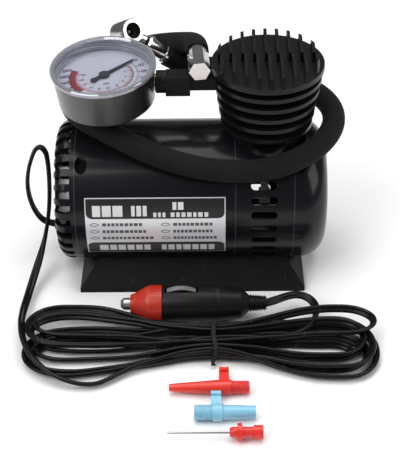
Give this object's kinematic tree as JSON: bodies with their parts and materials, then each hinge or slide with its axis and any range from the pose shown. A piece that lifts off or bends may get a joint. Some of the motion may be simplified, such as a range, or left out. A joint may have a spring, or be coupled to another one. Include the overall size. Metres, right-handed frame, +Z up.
{
  "type": "portable tire inflator",
  "caption": "Small 12 V air compressor with a horizontal barrel, finned head, round pressure gauge, braided hose, lighter plug lead and push-in adapters.",
  "frame": {"origin": "centre of the foot's flat underside, which stands on the floor", "axes": "+X along the barrel towards the finned head, -Y out of the label side, +Z up"},
  "size_m": [0.1913, 0.2096, 0.1292],
  "materials": {
    "gloss_case": "glossy moulded black",
    "satin_black": "satin moulded black",
    "label_print": "silver film with black bands",
    "steel": "brushed",
    "zinc": "bright zinc plate",
    "chrome": "polished",
    "brass": "machined",
    "alloy": "die cast",
    "copper": "enamelled copper",
    "carbon": "carbon",
    "nylon": "natural nylon",
    "gear_nylon": "natural nylon",
    "clear": "clear",
    "dial_print": null,
    "needle_black": "matt black",
    "rubber": "matt",
    "braid": "woven textile jacket",
    "cord_jacket": "satin PVC",
    "plug_black": "satin",
    "plug_red": "satin red",
    "adapter_red": "glossy red",
    "adapter_blue": "translucent sky blue",
    "fuse_glass": "clear"
  },
  "bodies": {
    "case": {"front_shell": "gloss_case", "back_shell": "gloss_case", "case_screws": "zinc", "foot": "satin_black", "foot_screws": "zinc", "rating_label": "label_print", "motor_can": "steel", "motor_magnets": "carbon", "motor_end_cap": "satin_black", "motor_bushes": "brass", "motor_brushes": "carbon", "gearbox_frame": "alloy", "motor_screws": "zinc", "gear_axle": "steel", "cylinder_sleeve": "alloy", "cylinder_head": "alloy", "valve_spring": "steel", "outlet_arm": "satin_black", "hose_nut": "chrome", "gauge_case": "gloss_case", "gauge_bezel": "clear", "gauge_lens": "clear", "gauge_dial": "dial_print", "gauge_socket": "brass", "bourdon_tube": "brass", "needle_bearing": "brass", "air_hose": "braid", "hose_ferrule": "chrome", "chuck_body": "chrome", "chuck_seal": "rubber", "chuck_pin": "brass", "cord_grommet": "rubber", "cord_near": "cord_jacket", "cord_far": "cord_jacket", "cord_hank": "cord_jacket", "cord_tie": "satin_black", "plug_shell": "plug_black", "plug_ring": "plug_red", "plug_relief": "rubber", "plug_fuse": "fuse_glass"},
    "rotor": {"motor_shaft": "steel", "armature_core": "steel", "windings": "copper", "commutator": "copper", "pinion": "brass"},
    "gear": {"drive_gear": "gear_nylon"},
    "piston": {"piston_rod": "nylon", "piston_seal": "rubber"},
    "valve": {"outlet_valve": "steel"},
    "needle": {"pointer": "needle_black"},
    "centre_contact": {"plug_tip": "steel"},
    "upper_contact": {"contact_top": "steel"},
    "lower_contact": {"contact_bottom": "steel"},
    "red_adapter": {"red_nozzle": "adapter_red"},
    "blue_adapter": {"blue_nozzle": "adapter_blue"},
    "ball_adapter": {"ball_needle": "steel", "needle_hub": "adapter_red"}
  },
  "joints": [
    {"name": "motor_spin", "type": "hinge", "parent": "case", "child": "rotor", "pos_m": [0, 0, 0.054], "axis": [1, 0, 0], "continuous": true},
    {"name": "gear_spin", "type": "hinge", "parent": "case", "child": "gear", "pos_m": [0.026, 0, 0.03], "axis": [1, 0, 0], "continuous": true},
    {"name": "piston_stroke", "type": "slide", "parent": "case", "child": "piston", "axis": [0, 0, 1], "range_m": [-0.013, 0]},
    {"name": "valve_lift", "type": "slide", "parent": "case", "child": "valve", "axis": [0, 0, 1], "range_m": [0, 0.001], "stiffness_N_per_m": 150, "springref_m": -0.001, "deforming": ["valve_spring"]},
    {"name": "needle_swing", "type": "hinge", "parent": "case", "child": "needle", "pos_m": [-0.04462, 0.00057, 0.11303], "axis": [-0.0504, -0.0767, 0.9958], "range_deg": [-240, 0], "stiffness_Nm_per_rad": 0.0002, "springref_deg": 5.73},
    {"name": "centre_contact_press", "type": "slide", "parent": "case", "child": "centre_contact", "axis": [1, 0, 0], "range_m": [0, 0.003], "stiffness_N_per_m": 600, "springref_m": -0.002},
    {"name": "upper_contact_press", "type": "slide", "parent": "case", "child": "upper_contact", "axis": [0, 0, -1], "range_m": [0, 0.001], "stiffness_N_per_m": 800, "springref_m": -0.0005},
    {"name": "lower_contact_press", "type": "slide", "parent": "case", "child": "lower_contact", "axis": [0, 0, 1], "range_m": [0, 0.001], "stiffness_N_per_m": 800, "springref_m": -0.0005},
    {"name": "red_adapter_lift", "type": "slide", "parent": "case", "child": "red_adapter", "axis": [0, 0, 1], "range_m": [0, 0.05]},
    {"name": "blue_adapter_lift", "type": "slide", "parent": "case", "child": "blue_adapter", "axis": [0, 0, 1], "range_m": [0, 0.05]},
    {"name": "ball_adapter_lift", "type": "slide", "parent": "case", "child": "ball_adapter", "axis": [0, 0, 1], "range_m": [0, 0.05]}
  ],
  "couplings": [
    {"joint": "gear_spin", "follows": "motor_spin", "ratio": -0.25}
  ]
}
